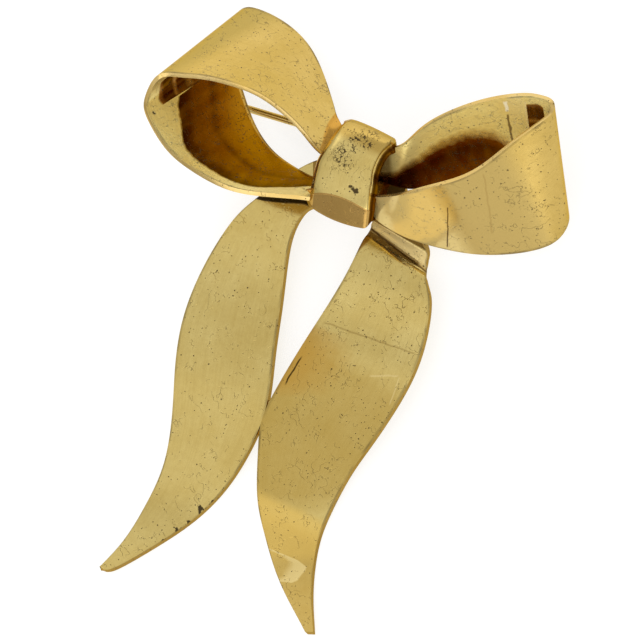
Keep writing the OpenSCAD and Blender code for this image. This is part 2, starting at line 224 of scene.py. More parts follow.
# Large and small pits: (spacing, width) in mm. Scratches: (size of a curl in mm, width).
# The real ones are too fine to show, so both are drawn as wide as they need to show.
PITS = ((0.9, 0.12), (0.45, 0.08))
SCRATCHES = ((1.5, 0.010), (2.6, 0.006))
WORM, WORM_PATCH = 0.6 * MM, 0.9 * MM
# Streaks on a whole strip: the brush's are 0.3 mm wide and 4 mm long, and those in the painted
# shade inside the loops 1.3 mm wide and 5 mm long, across it
BRUSHED, SHADE_STREAKS = (55, 18, 1), (3, 60, 1)
# Length in mm over which a mark's ends fade
MARK_END = 0.3

# Lowest and highest roughness of each kind of finish
BUFFED, DULL, SATIN = (0.13, 0.2), (0.2, 0.3), (0.16, 0.24)


def linear(colour):
    """Linear colour of an sRGB hex value such as 'DCC173'."""
    channels = [int(colour[k:k + 2], 16) / 255 for k in (0, 2, 4)]
    return [c / 12.92 if c <= 0.04045 else ((c + 0.055) / 1.055) ** 2.4 for c in channels] + [1]


def start_fresh():
    """Deselect everything and leave edit mode before a piece is begun."""
    if bpy.context.object and bpy.context.object.mode != "OBJECT":
        bpy.ops.object.mode_set(mode="OBJECT")
    bpy.ops.object.select_all(action="DESELECT")


def modify(kind, **settings):
    """Add a modifier to the active object, set it and apply it."""
    bpy.ops.object.modifier_add(type=kind)
    modifier = bpy.context.object.modifiers[-1]
    for name, value in settings.items():
        setattr(modifier, name, value)
    bpy.ops.object.modifier_apply(modifier=modifier.name)


def finished(name, body, slot, materials, *nodes):
    """Name the active object, give it its finishes and tie it to the frame."""
    piece = bpy.context.object
    piece.name = piece.data.name = name
    bpy.ops.object.transform_apply(location=True, rotation=True, scale=True)
    for place, material in enumerate(materials):
        if place < len(piece.material_slots):
            piece.material_slots[place].material = bpy.data.materials[material]
        else:
            piece.data.materials.append(bpy.data.materials[material])
    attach(piece, body)
    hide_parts(*nodes)


def control_rows(rows, closed=False):
    """Rows for a cage whose subdivided surface runs through the given rows of points."""
    n = len(rows)
    control = [[p.copy() for p in row] for row in rows]
    for _ in range(ROUNDS):
        moved = []
        for k in range(n):
            if not closed and k in (0, n - 1):
                moved.append(control[k])
                continue
            before, here, after = control[k - 1], control[k], control[(k + 1) % n]
            moved.append([h + r - (b + 4 * h + a) / 6
                          for b, h, a, r in zip(before, here, after, rows[k])])
        control = moved
    return control


def cage(rows, shares):
    """Grid whose rows of vertices lie at the given points. They are placed one by one,
    because the sections of a bent ribbon follow no primitive, so its first size is free.
    Its UV map holds each vertex's share across and its row as a share of MOST_ROWS."""
    start_fresh()
    bpy.ops.mesh.primitive_grid_add(
        x_subdivisions=len(shares) - 1, y_subdivisions=len(rows) - 1, size=10 * MM)
    mesh = bpy.context.object.data
    for vertex, place in zip(mesh.vertices, [p for row in rows for p in row]):
        vertex.co = place
    for corner in mesh.loops:
        row, column = divmod(corner.vertex_index, len(shares))
        mesh.uv_layers.active.data[corner.index].uv = shares[column], row / MOST_ROWS


def strip(rows, sheet):
    """Strip of sheet between two edges, with its thickness and rounded edges. Its outer
    face takes its first finish, its inner face the second and its rim the third."""
    cage([[first.lerp(second, share) for share in ACROSS]
          for first, second in control_rows(rows)], ACROSS)
    modify("SUBSURF", levels=LEVELS, render_levels=LEVELS)
    for _ in range(3):
        bpy.ops.object.material_slot_add()
    modify("SOLIDIFY", thickness=sheet, offset=0, material_offset=1, material_offset_rim=2)
    modify("BEVEL", width=SHEET_BEVEL, segments=3, limit_method="ANGLE", angle_limit=SHARP)
    bpy.ops.object.shade_smooth()


def leg_row(side, x, leg):
    """Section of a loop's leg inside the knot."""
    g = bpy.context.scene.brooch_knot
    front_z = KNOT_BACK_Z + LEG_FORWARD * g.depth
    back_z = KNOT_BACK_Z + g.sheet + LEG_GAP
    return [MIDDLE + Vector((side * x, leg[0] * g.height / 2, front_z)),
            MIDDLE + Vector((side * x, leg[1] * g.height / 2, back_z))]


def loop_rows(side, reach, table, upper, lower):
    """Sections of a loop: its upper leg in the knot, the table's rows and its lower leg."""
    size, g = bpy.context.scene.brooch_loops, bpy.context.scene.brooch_knot
    legs = [SHEET_END, LEG_STRAIGHT * g.width]
    rows = [leg_row(side, x, upper) for x in legs]
    for front_out, front_up, front, back_out, back_up, back in table:
        rows.append([
            MIDDLE + Vector((side * (g.width / 2 + front_out * reach), front_up * size.rise,
                             BACK_Z + front * size.depth)),
            MIDDLE + Vector((side * (g.width / 2 + back_out * reach), back_up * size.rise,
                             BACK_Z + back * size.depth))])
    return rows + [leg_row(side, x, lower) for x in reversed(legs)]


def tail_rows(side, spread, table, top):
    """Sections of a tail: its top behind the knot and the table's rows."""
    size = bpy.context.scene.brooch_tails
    low = size.sheet / 2
    rows = [[MIDDLE + Vector((x, y, TAIL_TOP_Z)) for x, y in ends] for ends in top]
    for outer, outer_down, inner, inner_down, lift in table:
        z = low + lift * (TAIL_TOP_Z - low)
        rows.append([
            MIDDLE + Vector((-size.seam + side * outer * (spread + side * size.seam),
                             -outer_down * size.drop, z)),
            MIDDLE + Vector((-size.seam + side * inner * (spread + side * size.seam),
                             -inner_down * size.drop, z))])
    return rows


def at(table, place):
    """Value at a place of a table of [place, value] in order, level beyond its ends."""
    table = sorted(table)
    for (p, v), (q, w) in zip(table, table[1:]):
        if place <= q:
            return v + (w - v) * max(0, place - p) / (q - p)
    return table[-1][1]


def size_property(name, description, millimetres):
    """Length that a user can change, in the scene's metres."""
    return bpy.props.FloatProperty(
        name=name, description=description, default=millimetres * MM, unit="LENGTH", precision=5)


def colour_property(name, description, value):
    """Colour that a user can change."""
    return bpy.props.FloatVectorProperty(
        name=name, description=description, default=linear(value), subtype="COLOR", size=4,
        min=0, max=1)


class BroochFinishes(bpy.types.PropertyGroup):
    plate: colour_property("Plate", "Gold plate of the tails and the knot", "D4BA6E")
    plate_light: colour_property("Plate, light", "Lighter clouds in that plate", "DEC77E")
    left: colour_property("Left", "Gold plate on the left loop's outside", "CEAF60")
    left_light: colour_property("Left, light", "Lighter clouds in that plate", "D8BA6E")
    # The right loop's plate is the same as the left's, painted darker as shade
    right: colour_property("Right", "Gold plate on the right loop's outside", "C2A458")
    right_light: colour_property("Right, light", "Lighter clouds in that plate", "CEB064")
    inside: colour_property("Inside", "Dull gold plate inside the loops", "F0D888")
    inside_light: colour_property("Inside, light", "Lighter clouds in that plate", "FAE89A")
    edge: colour_property("Edge", "Rubbed edges of the loops' sheet", "CEAE68")
    edge_light: colour_property("Edge, light", "Lighter clouds on those edges", "DABF80")
    tail_edge: colour_property("Tail edge", "Rubbed edges of the tails' sheet", "94763C")
    tail_edge_light: colour_property("Tail edge, light", "Lighter clouds there", "A88A4C")
    pin: colour_property("Pin", "Satin plate of the pin and its fittings", "CDB06A")
    pin_light: colour_property("Pin, light", "Lighter clouds in that plate", "D8BF7C")


class BroochLoops(bpy.types.PropertyGroup):
    left_reach: size_property("Left reach", "Reach of the left loop from the knot", 26.3)
    right_reach: size_property("Right reach", "Reach of the right loop from the knot", 24.9)
    rise: size_property("Rise", "Height of the loops above the middle of the knot", 19.4)
    depth: size_property("Depth", "Depth of the loops from front to back", 15)
    sheet: size_property("Sheet", "Thickness of the loops' sheet", 0.6)


class BroochTails(bpy.types.PropertyGroup):
    drop: size_property("Drop", "Drop of the tips below the middle of the knot", 62)
    left_spread: size_property("Left spread", "Reach of the left tail's outer edge", 21.5)
    right_spread: size_property("Right spread", "Reach of the right tail's outer edge", 16.5)
    seam: size_property("Seam", "Distance of the soldered seam from the knot's middle", 4.6)
    sheet: size_property("Sheet", "Thickness of the tails' sheet", 0.9)


class BroochKnot(bpy.types.PropertyGroup):
    width: size_property("Width", "Width of the knot's band", 9.1)
    height: size_property("Height", "Height of the knot", 14.2)
    depth: size_property("Depth", "Depth of the knot from back to front", 8)
    sheet: size_property("Sheet", "Thickness of the knot's band", 0.9)


class BroochStage(bpy.types.PropertyGroup):
    floor: colour_property("Floor", "Colour of the paper under the brooch", "A0A0A0")
    glow: bpy.props.FloatProperty(
        name="Glow", description="How much the paper glows, as if lit from below", default=0.74)
    upper: bpy.props.FloatProperty(
        name="Upper lamp", description="Strength in watts of the soft lamp above", default=4)
    lower: bpy.props.FloatProperty(
        name="Lower lamp", description="Strength in watts of the soft lamp below", default=6)


# A film of tarnish, haze or shade on a strip. Its line is [row, share across], and it covers
# what lies past the line (side 1) or before it (side -1). Its tones are [share from the
# line, colour, cover]. wander roughens its edge, metal is how much of it shines, and
# streaked how much it is lightened in streaks across the sheet.
Film = namedtuple("Film", "line tones wander metal side streaked", defaults=(0, 0.95, 1, 0))

# A straight mark on a strip: its ends are [row, share across], and its width is in mm
Mark = namedtuple("Mark", "first last width colour cover")


def node(tree, kind, inputs=(), operation=None, **settings):
    """Add a node to a tree, with its settings, its values and the links into it. A link
    comes from a socket, or from a node's first output. Inputs are listed in order, such as
    a Map Range's value, two ends to bring it from and two to bring it to, or go by name or
    number, as a Mix of colours mixes 6 with 7 by 0."""
    made = tree.nodes.new("ShaderNode" + kind)
    if operation:
        made.operation = operation
    for name, value in settings.items():
        setattr(made, name, value)
    for name, value in inputs.items() if isinstance(inputs, dict) else enumerate(inputs):
        if isinstance(value, bpy.types.Node):
            value = value.outputs[0]
        if isinstance(value, bpy.types.NodeSocket):
            tree.links.new(value, made.inputs[name])
        else:
            made.inputs[name].default_value = value
    return made


def away_from(add, value, middle):
    """How far a value lies from a middle one, either way."""
    value = add("Math", [value, middle], "SUBTRACT")
    return add("Math", [value], "ABSOLUTE")


def fill(ramp, stops):
    """Give a colour ramp its stops of (share, colour and cover)."""
    while len(ramp.color_ramp.elements) < len(stops):
        ramp.color_ramp.elements.new(0.5)
    for element, (share, colour) in zip(ramp.color_ramp.elements, stops):
        element.position, element.color = share, colour


def lay_film(add, tone, metal, film):
    """Tone and metal with a film laid over them."""
    spot = add("TexCoord")
    across = add("SeparateXYZ", [spot.outputs["UV"]])
    edge = add("FloatCurve", {"Value": across.outputs["Y"]})
    edge.mapping.use_clip = False
    curve = edge.mapping.curves[0]
    while len(curve.points) < len(film.line):
        curve.points.new(0.5, 0.5)
    for point, (row, share) in zip(curve.points, film.line):
        point.location = row / MOST_ROWS, share
        point.handle_type = "AUTO" if film.wander else "VECTOR"
    edge.mapping.update()
    past = add("Math", [across.outputs["X"], edge], "SUBTRACT")
    ragged = add("TexNoise", {
        "Vector": spot.outputs["Object"], "Scale": 1 / RAGGED_FILM, "Detail": 3})
    ragged = add("Math", [ragged, film.wander, -0.5 * film.wander], "MULTIPLY_ADD")
    past = add("Math", [past, film.side, ragged], "MULTIPLY_ADD")
    ramp = add("ValToRGB", [past])
    fill(ramp, [(share, linear(colour)[:3] + [cover]) for share, colour, cover in film.tones])
    colour, cover = ramp.outputs
    if film.streaked:
        streaks = add("Mapping", {0: spot.outputs["UV"], "Scale": SHADE_STREAKS})
        streaks = add("TexNoise", {"Vector": streaks, "Scale": 1, "Detail": 3})
        streaks = add("MapRange", [streaks, 0.4, 0.65, 0, film.streaked])
        colour = add("Mix", {0: streaks, 6: colour, 7: linear("A87420")},
                     data_type="RGBA").outputs[2]
    tone = add("Mix", {0: cover, 6: tone, 7: colour}, data_type="RGBA").outputs[2]
    return tone, add("Mix", {0: cover, 2: metal, 3: film.metal})


def draw_mark(add, tone, mark):
    """Tone with a mark drawn over it, which wanders by up to its own width and fades out
    at its sides and ends."""
    spot = add("TexCoord")
    start, end = [Vector((share * SHEET_WIDTH, row * ROW_LENGTH, 0))
                  for row, share in (mark.first, mark.last)]
    way = end - start
    flat = add("VectorMath", [spot.outputs["UV"], (SHEET_WIDTH, ROW_LENGTH * MOST_ROWS, 1)],
               "MULTIPLY")
    flat = add("Mapping", {0: flat, "Location": start, "Rotation": (0, 0, atan2(way.y, way.x))},
               vector_type="TEXTURE")
    flat = add("SeparateXYZ", [flat])
    ragged = add("TexNoise", {
        "Vector": spot.outputs["Object"], "Scale": 1 / RAGGED_MARK, "Detail": 3})
    aside = add("Math", [ragged, 1.6 * mark.width, -0.8 * mark.width], "MULTIPLY_ADD")
    aside = add("Math", [flat.outputs["Y"], aside], "ADD")
    aside = add("Math", [aside], "ABSOLUTE")
    near = add("MapRange", [aside, 0.3 * mark.width, 0.7 * mark.width, mark.cover, 0])
    half = way.length / 2
    along = away_from(add, flat.outputs["X"], half)
    along = add("MapRange", [along, half - MARK_END, half, 1, 0])
    drawn = add("Math", [near, along], "MULTIPLY")
    return add("Mix", {0: drawn, 6: tone, 7: linear(mark.colour)}, data_type="RGBA").outputs[2]


def clouded(add, spot, clouds, tones):
    """Two tones in buffing clouds, with a fine mottle and faint brush streaks in them."""
    share = add("MapRange", [clouds, 0.35, 0.65])
    tone = add("Mix", {0: share, 6: tones[0], 7: tones[1]}, data_type="RGBA").outputs[2]
    mottle = add("TexNoise", {
        "Vector": spot.outputs["Object"], "Scale": 1 / MOTTLE, "Detail": 3, "Roughness": 0.6})
    brushed = add("Mapping", {0: spot.outputs["UV"], "Scale": BRUSHED})
    brushed = add("TexNoise", {"Vector": brushed, "Scale": 1, "Detail": 2})
    for pattern, low, most, colour in ((mottle, 0.35, 0.12, "9A7830"),
                                       (brushed, 0.4, 0.14, "A88A40")):
        cover = add("MapRange", [pattern, low, 0.7, 0, most])
        tone = add("Mix", {0: cover, 6: tone, 7: linear(colour)}, data_type="RGBA").outputs[2]
    return tone


def distance(add, place, middle):
    """Distance from a place given in mm from the middle of the knot."""
    return add("VectorMath", [place, MIDDLE + Vector(middle) * MM], "DISTANCE").outputs["Value"]


def crowded(add, place, crowds):
    """How near each spot is to a crowd of marks."""
    crowd = 0
    for middle, reach in crowds:
        near = add("MapRange", [distance(add, place, middle), reach * 0.5 * MM, reach * MM, 1, 0])
        crowd = add("Math", [crowd, near], "MAXIMUM")
    return crowd


def dented(add, place, dents):
    """Single dents with ragged rims."""
    holes = 0
    for middle, reach in dents:
        ragged = add("TexNoise", {"Vector": place, "Scale": 1 / RAGGED_DENT})
        away = add("Math", [ragged, 0.6 * MM, distance(add, place, middle)], "MULTIPLY_ADD")
        near = add("MapRange", [away, reach * MM, (reach + 0.15) * MM, 1, 0])
        holes = add("Math", [holes, near], "MAXIMUM")
    return holes


def pitted(add, place, clouds, crowd, holes, pits):
    """Holes with large and small pits added, one to a cell, in the clouds and crowds."""
    for (cell, width), chance in zip(PITS, (pits, 0.8 * pits)):
        cells = add("TexVoronoi", {"Vector": place, "Scale": 1 / (cell * MM)})
        ragged = add("TexNoise", {"Vector": place, "Scale": 1 / (0.15 * MM), "Detail": 1})
        near = add("Math", [ragged, 0.25, cells.outputs["Distance"]], "MULTIPLY_ADD")
        hole = add("MapRange", [near, width / cell + 0.06, width / cell + 0.16, 1, 0])
        chosen = add("SeparateColor", [cells.outputs["Color"]])
        chosen = add("Math", [clouds, 0.9, chosen], "MULTIPLY_ADD")
        chosen = add("Math", [crowd, 0.5, chosen], "MULTIPLY_ADD")
        chosen = add("Math", [chosen, 1.45 - chance], "GREATER_THAN")
        hole = add("Math", [hole, chosen], "MULTIPLY")
        holes = add("Math", [holes, hole], "MAXIMUM")
    return holes


def scratched(add, place, crowd, lines):
    """Curled scratches, in patches, where a noise passes through its middle value."""
    drawn = 0
    for size, width in SCRATCHES:
        curl = add("TexNoise", {"Vector": place, "Scale": 1 / (size * MM), "Detail": 2})
        curl = away_from(add, curl, 0.5)
        curl = add("MapRange", [curl, width * 0.3, width, 1, 0])
        some = add("TexNoise", {"Vector": place, "Scale": 1 / (size * 1.3 * MM), "Detail": 1})
        some = add("Math", [crowd, 0.2, some], "MULTIPLY_ADD")
        some = add("MapRange", [some, 0.66 - lines * 0.2, 0.72 - lines * 0.2])
        curl = add("Math", [curl, some], "MULTIPLY")
        drawn = add("Math", [drawn, curl], "MAXIMUM")
    return drawn


def wormed(add, place, crowd, holes):
    """Holes with short worm-like pits added where marks crowd."""
    worm = add("TexNoise", {"Vector": place, "Scale": 1 / WORM, "Detail": 1})
    worm = away_from(add, worm, 0.5)
    worm = add("MapRange", [worm, 0.03, 0.06, 1, 0])
    some = add("TexNoise", {"Vector": place, "Scale": 1 / WORM_PATCH, "Detail": 1})
    some = add("MapRange", [some, 0.47, 0.53])
    for share in (crowd, some):
        worm = add("Math", [worm, share], "MULTIPLY")
    return add("Math", [holes, worm], "MAXIMUM")


def dirtied_and_edge_shaded(add, spot, holes, drawn, edge_dirt_and_shade):
    """Dirt in the marks, and a dark line along the edges of a strip, partly dirt left by the
    polishing cloth and partly a painted dark reflection of the rounded edge.
    """
    dirt = add("Math", [holes, 0.95], "MULTIPLY")
    faint = add("Math", [drawn, 0.55], "MULTIPLY")
    # The dark line along the edges: partly dirt, partly a painted dark reflection of the rounded
    # edge
    line = add("SeparateXYZ", [spot.outputs["UV"]])
    line = away_from(add, line, 0.5)
    line = add("MapRange", [line, 0.472, 0.487, 0, 0.55 * edge_dirt_and_shade])
    some = add("TexNoise", {"Vector": spot.outputs["Object"], "Scale": 1 / EDGE_PATCH})
    some = add("MapRange", [some, 0.35, 0.6])
    line = add("Math", [line, some], "MULTIPLY")
    for more in (faint, line):
        dirt = add("Math", [dirt, more], "MAXIMUM")
    return dirt


def polished(add, place, holes, drawn):
    """Waves and orange peel of the old polish, with the marks sunk into them."""
    wave = add("TexNoise", {"Vector": place, "Scale": 1 / WAVE})
    peel = add("TexNoise", {"Vector": place, "Scale": 1 / PEEL, "Detail": 3})
    marks = add("Math", [holes, drawn], "MAXIMUM")
    bump = add("Bump", {"Height": wave, "Distance": WAVE_HEIGHT})
    bump = add("Bump", {"Height": peel, "Distance": PEEL_HEIGHT, "Normal": bump})
    return add("Bump", {"Height": marks, "Distance": -MARK_DEPTH, "Strength": 1, "Normal": bump})


def gold_plate(name, tones, pits, lines, haze, metal=0.95, films=(), marks=(), crowds=(),
               dents=(), edge_dirt_and_shade=1):
    """Gold plate with its wear: soft clouds of two tones, fine pits with dirt in them and
    curled scratches. pits and lines tell how many there are, haze is the lowest and highest
    roughness and metal how much of it shines through the dull film of old lacquer. films
    are stains, hazes, painted shade and painted highlights, and marks single lines, some of
    them painted shade or highlights. crowds and dents are (place from the middle of the
    knot, reach) in mm, of crowds of marks and of single dark dents. edge_dirt_and_shade is how
    much dirt and painted shade lie along the edges of a strip: a dark line, partly dirt left by
    the polishing cloth and partly a painted dark reflection of the rounded edge."""
    material = bpy.data.materials.new(name)
    material.use_nodes = True
    tree = material.node_tree
    add = partial(node, tree)
    spot = add("TexCoord")
    place = spot.outputs["Object"]
    clouds = add("TexNoise", {"Vector": place, "Scale": 1 / CLOUD, "Detail": 5, "Roughness": 0.6})
    tone = clouded(add, spot, clouds, tones)
    crowd = crowded(add, place, crowds)
    holes = pitted(add, place, clouds, crowd, dented(add, place, dents), pits)
    drawn = scratched(add, place, crowd, lines)
    if crowds:
        holes = wormed(add, place, crowd, holes)
    dirt = dirtied_and_edge_shaded(add, spot, holes, drawn, edge_dirt_and_shade)
    for film in films:
        tone, metal = lay_film(add, tone, metal, film)
    for mark in marks:
        tone = draw_mark(add, tone, mark)

    # Dirt, with the painted shade along the edges, darkens the plate, dulls it and hides its metal
    tone = add("Mix", {0: dirt, 6: tone, 7: linear("2A1806")}, data_type="RGBA").outputs[2]
    rough = add("MapRange", [clouds, 0.3, 0.7, haze[0], haze[1]])
    rough = add("Math", [dirt, 0.4, rough], "MULTIPLY_ADD")
    clean = add("Math", [dirt, -0.85, 1], "MULTIPLY_ADD")
    metal = add("Math", [clean, metal], "MULTIPLY")
    shader = tree.nodes["Principled BSDF"].inputs
    tree.links.new(tone, shader["Base Color"])
    tree.links.new(rough.outputs[0], shader["Roughness"])
    tree.links.new(metal.outputs[0], shader["Metallic"])
    tree.links.new(polished(add, place, holes, drawn).outputs[0], shader["Normal"])
    shader["Specular Tint"].default_value = linear("F4DDA8")


def even(colour, cover, fade=0.05):
    """Tones of a film of one colour, which fades in over a share of the sheet's width."""
    return [[0, colour, 0], [fade, colour, cover], [1, colour, cover]]


# Shares across a strip past either of its edges, where a film's line covers none or all
NONE, ALL = 1.2, -1


def within(*places):
    """Line of a film that covers nothing before its first place or past its last."""
    return [[0, NONE], *places, [MOST_ROWS, NONE]]


def band(first, last, fade=0.1):
    """Line of a film that covers a strip from one row to another."""
    return within([first - fade, NONE], [first, ALL], [last, ALL], [last + fade, NONE])


def pair(g, name):
    """The two tones of a finish."""
    return list(getattr(g, name)), list(getattr(g, name + "_light"))


# Shade that the light leaves on the left loop's outside, and a brown glow beside the knot
LEFT_DIM = within([5.0, NONE], [8.0, -0.9], [10, -0.9], [13, NONE])
LEFT_GLOW = [[0, -0.3], [1.3, -0.3], [2.0, 0.15], [2.5, 0.7], [2.8, NONE], [25, NONE]]


def left_loop_outside(g):
    """Gold plate on brass, buffed on the wheel: a yellow mirror, hazed where it has been
    handled, with pits and many curled scratches."""
    gold_plate("buffed_gold_plate_left_loop", pair(g, "left"), 0.34, 0.65, BUFFED, films=[
        Film(LEFT_DIM, even("B49C58", 0.8, 0.9), 0.1),
        Film(LEFT_GLOW, even("C08A34", 0.8, 0.15), 0.1, metal=1)])


# Hazes on the right loop's outside: on all of its lower leg, darker there with painted shade,
# and paler towards the knot
RIGHT_HAZE_AND_SHADE = [[0, NONE], [9.8, NONE], [12.2, ALL], [25, ALL]]
LEG_HAZE = [[0, NONE], [12.6, NONE], [15.0, ALL], [25, ALL]]


def right_loop_outside(g):
    """The same plate, darker with painted shade and handled more: its mirror is a soft, pale
    haze, with a dark crease and a faint one across it."""
    gold_plate("buffed_gold_plate_right_loop", pair(g, "right"), 0.32, 0.5, BUFFED, films=[
        Film(RIGHT_HAZE_AND_SHADE, even("B69C5A", 0.92, 0.9), 0.3, metal=0.5),
        Film(LEG_HAZE, even("DCC480", 0.9, 0.9), 0.3, metal=0.4)], marks=[
        Mark([13.75, 0.32], [14.2, 0.96], 0.14, "4A2C06", 0.9),
        Mark([12.15, 0.06], [12.6, 0.74], 0.18, "8A6A30", 0.28)])


# Painted shade in the left loop's lower leg and in the red-brown pocket of its fold, with the
# paler streaks that both loops have there, and a painted highlight along its bright far edge
LEFT_INSIDE_SHADE = [[0, NONE], [9.95, NONE], [10.05, 0.34], [10.25, 0.30], [10.8, 0.23],
                [11.35, 0.13], [11.6, 0.11], [12.65, 0.10], [13.15, 0.10], [14.15, 0.24],
                [15.1, 0.5], [16, 0.7], [25, NONE]]
LEFT_SHADE_TONES = [[0.0, "8A5A10", 0], [0.03, "3C1600", 1], [0.12, "4E2200", 1],
              [0.2, "704000", 1], [0.36, "7C4800", 1], [0.43, "5E3000", 1], [0.52, "845004", 1],
              [0.8, "A06C10", 1]]
LEFT_POCKET_SHADE = within([8.5, NONE], [8.6, 0.11], [9.1, 0.13], [9.9, 0.15], [10.05, 0.22],
                     [10.12, NONE])
POCKET_SHADE_TONES = [[0.0, "3A1400", 0], [0.02, "7A3A08", 0.9], [0.06, "3A0E00", 1],
                [0.16, "3A0E00", 1], [0.19, "8E5A28", 0.9], [0.22, "4A1C00", 1],
                [0.30, "3A1000", 1], [0.36, "7A4A1C", 0.9], [0.40, "5A2A00", 1]]
LEFT_FAR_EDGE_HIGHLIGHT = within([10.6, NONE], [10.8, 0.955], [14.8, 0.965], [15.2, NONE])


def left_loop_inside(g):
    """A duller plate, which no cloth reaches, with painted shade, brown and red-brown in
    the folds, a painted highlight along its far edge, and one black pit near the bend."""
    gold_plate("tarnished_gold_plate_left_loop", pair(g, "inside"), 0.35, 0.8, DULL, 0.5, [
        Film(LEFT_INSIDE_SHADE, LEFT_SHADE_TONES, 0.035, metal=1, streaked=0.3),
        Film(LEFT_POCKET_SHADE, POCKET_SHADE_TONES, 0.045, metal=1, streaked=0.3),
        Film(LEFT_FAR_EDGE_HIGHLIGHT, even("D2AA50", 0.9, 0.01), metal=0.9)],
        dents=[((-29.6, -0.7, 17.1), 0.6)])


# Painted shade: the dark wedge in the right loop's upper leg, and its fold's pocket
RIGHT_INSIDE_SHADE = [[0, 0.8], [0.7, 0.72], [1.5, 0.58], [2.05, 0.40], [2.55, 0.36], [3.0, 0.32],
                 [3.6, 0.29], [4.15, 0.28], [4.5, 0.30], [4.9, 0.35], [5.15, 0.42],
                 [5.4, 0.50], [5.7, 0.85], [5.9, NONE], [25, NONE]]
RIGHT_SHADE_TONES = [[0.0, "A87828", 0], [0.09, "8A5404", 0.6], [0.18, "5A2400", 1],
               [0.28, "3C1000", 1], [0.5, "481800", 1], [0.9, "6A3400", 1]]
RIGHT_POCKET_SHADE = within([6.1, NONE], [6.15, 0.09], [6.9, 0.07], [7.3, 0.1], [7.35, NONE])


def right_loop_inside(g):
    """The same, with painted shade brown near the knot too, and a painted bright reflection
    across the bend, with a painted dark line under it where that reflection ends."""
    gold_plate("tarnished_gold_plate_right_loop", pair(g, "inside"), 0.4, 0.9, DULL, 0.4, [
        # Painted shade of the knot over the upper leg inside it
        Film(band(0, 0.9, 0.9), even("A07A34", 0.5, 0.9), 0.1, metal=0.8),
        Film(RIGHT_INSIDE_SHADE, RIGHT_SHADE_TONES, 0.1, metal=1, streaked=0.12),
        # Painted shade where the lower leg goes into the knot
        Film(band(15.4, 25, 1.5), even("8A6424", 0.85, 0.9), 0.1, metal=0.8),
        # Painted reflection: a lighter strip across the bend
        Film(band(5.6, 6.0), even("F2E0A0", 0.6), metal=0.6),
        Film(RIGHT_POCKET_SHADE, POCKET_SHADE_TONES, 0.02, metal=1, streaked=0.3)], [
        # Painted reflection across the bend: a bright line with a dark line below it, where it
        # ends, and a bright line by the pocket
        Mark([5.5, 0.04], [5.5, 0.18], 0.3, "FFF8E0", 1.0),
        Mark([5.5, 0.2], [5.45, 0.62], 0.2, "5A3408", 0.8),
        Mark([6.12, 0.06], [6.08, 0.4], 0.25, "F0DCA0", 0.9)])


# Tops of the tails in the shade behind the knot, the left loop's shadow on the left tail,
# which lies before its line, and the black dirt along that tail's lower edge, whose line
# is past the edge, so that only its roughest parts show
TAIL_TOP = [[0, ALL], [2.0, ALL], [2.3, NONE], [25, NONE]]
LOOP_SHADOW = [[0, -1], [2.65, -1], [2.8, 1.0], [3.15, 0.88], [3.4, 0.78], [3.7, 0.60],
               [3.85, 0.44], [3.95, 0.30], [4.05, 0.12], [4.12, -0.2], [25, -0.2]]
SHADOW_TONES = [[0, "6A480C", 0], [0.03, "6A480C", 0.8], [0.08, "140A02", 1],
                [0.26, "140A02", 1], [0.5, "6A480C", 0.3], [0.8, "6A480C", 0]]
LEFT_TAIL_DIRT = [[0, 1.6], [9.2, 1.6], [10.2, 1.18], [10.9, 1.10], [11.5, 1.06],
                  [12.1, 1.05], [12.9, 1.08], [14, 1.6], [25, 1.6]]


def left_tail_plate(g):
    """The buffed plate of the tails, a pale, greenish mirror with fewer marks."""
    gold_plate("buffed_gold_plate_left_tail", pair(g, "plate"), 0.22, 0.4, BUFFED, films=[
        Film(TAIL_TOP, even("8A6420", 0.85), metal=0.9),
        Film(LEFT_TAIL_DIRT, even("1E1206", 0.95, 0.04), 1.1, metal=0.3),
        Film(LOOP_SHADOW, SHADOW_TONES, metal=0.2, side=-1)])


# Painted shade along the brown turned edge, gilt brown, and a painted highlight, the bright
# flash, on the right tail
TURNED_EDGE_SHADE = within([4.9, NONE], [5.1, 0.9], [6.2, 0.93], [7.0, 1.0], [7.2, NONE])
GILT_BROWN = within([9.3, NONE], [9.5, 0.7], [10.3, 0.5], [11.2, 0.8], [11.8, NONE])
FLASH_HIGHLIGHT = within([15.35, NONE], [15.45, 0.12], [15.6, 0.14], [16.0, 0.45], [16.1, NONE])
FLASH_HIGHLIGHT_TONES = [[0, "F8E09A", 0], [0.04, "F8E09A", 0.7], [0.3, "F8E09A", 0.6],
               [0.48, "F8E09A", 0]]


